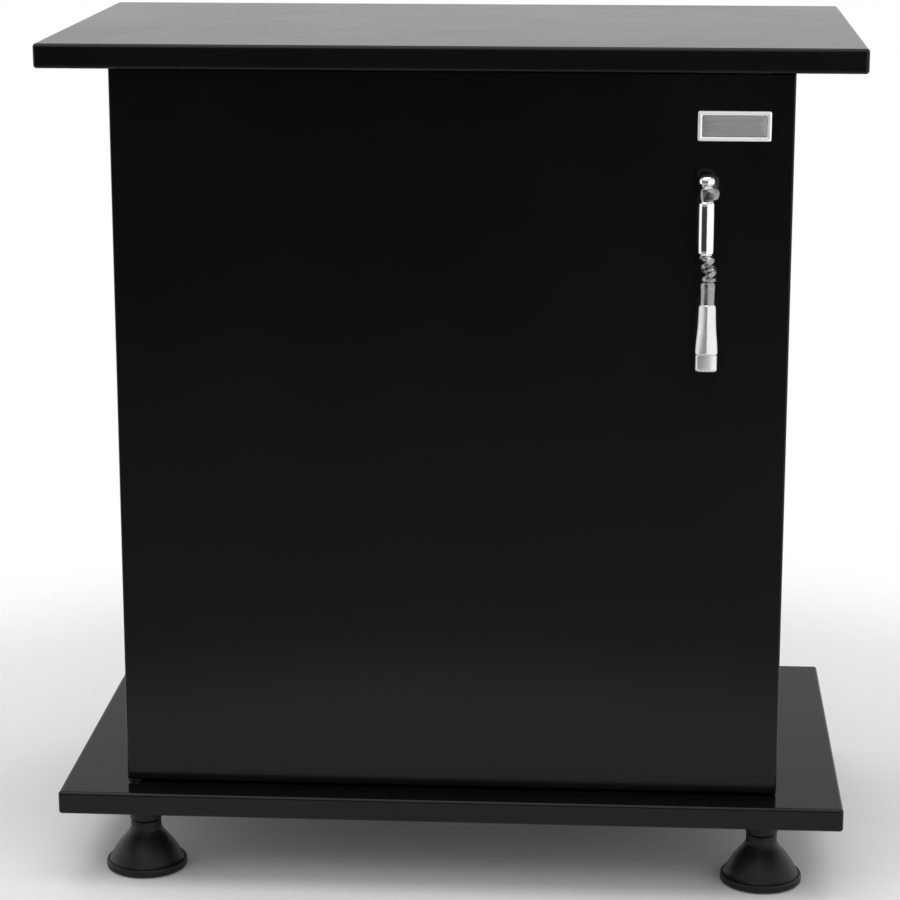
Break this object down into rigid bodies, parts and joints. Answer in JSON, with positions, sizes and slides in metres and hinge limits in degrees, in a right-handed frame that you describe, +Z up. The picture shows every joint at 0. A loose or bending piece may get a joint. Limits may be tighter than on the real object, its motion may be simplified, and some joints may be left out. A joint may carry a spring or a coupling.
{
  "type": "aquarium stand",
  "caption": "Aquarium cabinet with overhanging top and base boards, a pivot-hung door with a bow handle, a shelf inside and screw-adjusted bell feet.",
  "frame": {"origin": "on the floor under the middle of the stand", "axes": "+Z up, the door faces -Y, +X to the right of someone facing the door"},
  "size_m": [0.6, 0.35, 0.65],
  "materials": {
    "laminate": "chipboard board with black high-gloss laminate on faces and edges",
    "door_laminate": "black high-gloss laminated board",
    "chrome": "polished chrome plate on zinc casting",
    "badge_metal": "brushed plate, bright rim, darker satin middle",
    "zinc_steel": "zinc-plated steel",
    "nylon": "black nylon",
    "catch_plastic": "black moulded plastic",
    "beech": "fluted beech",
    "bumper_rubber": "clear soft bumper",
    "foot_plastic": "black satin moulded plastic",
    "pad_rubber": "dark rubber"
  },
  "bodies": {
    "cabinet": {"top_board": "laminate", "base_board": "laminate", "side_panel_left": "laminate", "side_panel_right": "laminate", "front_rail": "laminate", "rear_rail": "laminate", "rear_panel": "laminate", "shelf": "laminate", "shelf_pins": "zinc_steel", "cam_locks": "zinc_steel", "cam_bolts": "zinc_steel", "dowels": "beech", "pivot_bush_upper": "nylon", "pivot_bush_lower": "nylon", "catch_body": "catch_plastic", "catch_poles": "zinc_steel", "catch_screws": "zinc_steel", "door_bumpers": "bumper_rubber", "foot_screws": "zinc_steel", "foot_socket_front_left": "foot_plastic", "foot_socket_front_right": "foot_plastic", "foot_socket_rear_left": "foot_plastic", "foot_socket_rear_right": "foot_plastic"},
    "door": {"door_panel": "door_laminate", "pivot_plate_upper": "zinc_steel", "pivot_plate_lower": "zinc_steel", "pivot_screws": "zinc_steel", "handle": "chrome", "handle_screws": "zinc_steel", "badge": "badge_metal", "strike_plate": "zinc_steel"},
    "foot_pad_front_left": {"foot_pad_front_left": "pad_rubber"},
    "foot_bell_front_left": {"foot_bell_front_left": "foot_plastic", "foot_stud_front_left": "zinc_steel"},
    "foot_pad_front_right": {"foot_pad_front_right": "pad_rubber"},
    "foot_bell_front_right": {"foot_bell_front_right": "foot_plastic", "foot_stud_front_right": "zinc_steel"},
    "foot_pad_rear_left": {"foot_pad_rear_left": "pad_rubber"},
    "foot_bell_rear_left": {"foot_bell_rear_left": "foot_plastic", "foot_stud_rear_left": "zinc_steel"},
    "foot_pad_rear_right": {"foot_pad_rear_right": "pad_rubber"},
    "foot_bell_rear_right": {"foot_bell_rear_right": "foot_plastic", "foot_stud_rear_right": "zinc_steel"}
  },
  "joints": [
    {"name": "door_swing", "type": "hinge", "parent": "cabinet", "child": "door", "pos_m": [-0.245, -0.141, 0.355], "axis": [0, 0, -1], "range_deg": [0, 110]},
    {"name": "foot_height_front_left", "type": "slide", "parent": "cabinet", "child": "foot_pad_front_left", "axis": [0, 0, -1], "range_m": [0, 0.008]},
    {"name": "foot_turn_front_left", "type": "hinge", "parent": "foot_pad_front_left", "child": "foot_bell_front_left", "pos_m": [-0.241, -0.125, 0.02], "axis": [0, 0, -1], "range_deg": [0, 1921]},
    {"name": "foot_height_front_right", "type": "slide", "parent": "cabinet", "child": "foot_pad_front_right", "axis": [0, 0, -1], "range_m": [0, 0.008]},
    {"name": "foot_turn_front_right", "type": "hinge", "parent": "foot_pad_front_right", "child": "foot_bell_front_right", "pos_m": [0.241, -0.125, 0.02], "axis": [0, 0, -1], "range_deg": [0, 1921]},
    {"name": "foot_height_rear_left", "type": "slide", "parent": "cabinet", "child": "foot_pad_rear_left", "axis": [0, 0, -1], "range_m": [0, 0.008]},
    {"name": "foot_turn_rear_left", "type": "hinge", "parent": "foot_pad_rear_left", "child": "foot_bell_rear_left", "pos_m": [-0.241, 0.125, 0.02], "axis": [0, 0, -1], "range_deg": [0, 1921]},
    {"name": "foot_height_rear_right", "type": "slide", "parent": "cabinet", "child": "foot_pad_rear_right", "axis": [0, 0, -1], "range_m": [0, 0.008]},
    {"name": "foot_turn_rear_right", "type": "hinge", "parent": "foot_pad_rear_right", "child": "foot_bell_rear_right", "pos_m": [0.241, 0.125, 0.02], "axis": [0, 0, -1], "range_deg": [0, 1921]}
  ],
  "couplings": [
    {"joint": "foot_turn_front_left", "follows": "foot_height_front_left", "rad_per_m": 4188.8},
    {"joint": "foot_turn_front_right", "follows": "foot_height_front_right", "rad_per_m": 4188.8},
    {"joint": "foot_turn_rear_left", "follows": "foot_height_rear_left", "rad_per_m": 4188.8},
    {"joint": "foot_turn_rear_right", "follows": "foot_height_rear_right", "rad_per_m": 4188.8}
  ]
}
